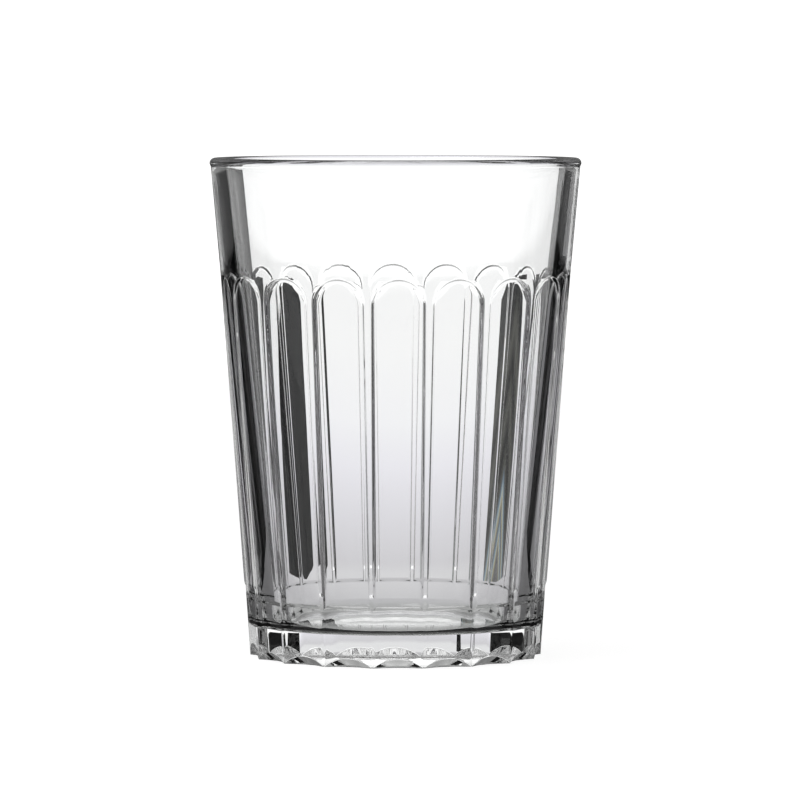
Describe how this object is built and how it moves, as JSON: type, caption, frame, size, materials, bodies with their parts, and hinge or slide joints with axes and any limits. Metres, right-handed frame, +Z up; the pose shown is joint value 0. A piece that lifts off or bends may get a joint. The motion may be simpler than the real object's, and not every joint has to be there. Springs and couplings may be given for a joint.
{
  "type": "rocks glass",
  "caption": "Clear pressed-glass tumbler that tapers to a heavy faceted foot, with a plain drinking band above round-headed flat panels between narrow ribs.",
  "frame": {"origin": "middle of the plane that the glass stands on", "axes": "+Z up along the axis of the glass, with one panel facing -Y"},
  "size_m": [0.0746, 0.0746, 0.1],
  "materials": {
    "clear_glass": "fire-polished clear soda-lime glass"
  },
  "bodies": {
    "root": {"glass_tumbler": "clear_glass"}
  },
  "joints": []
}
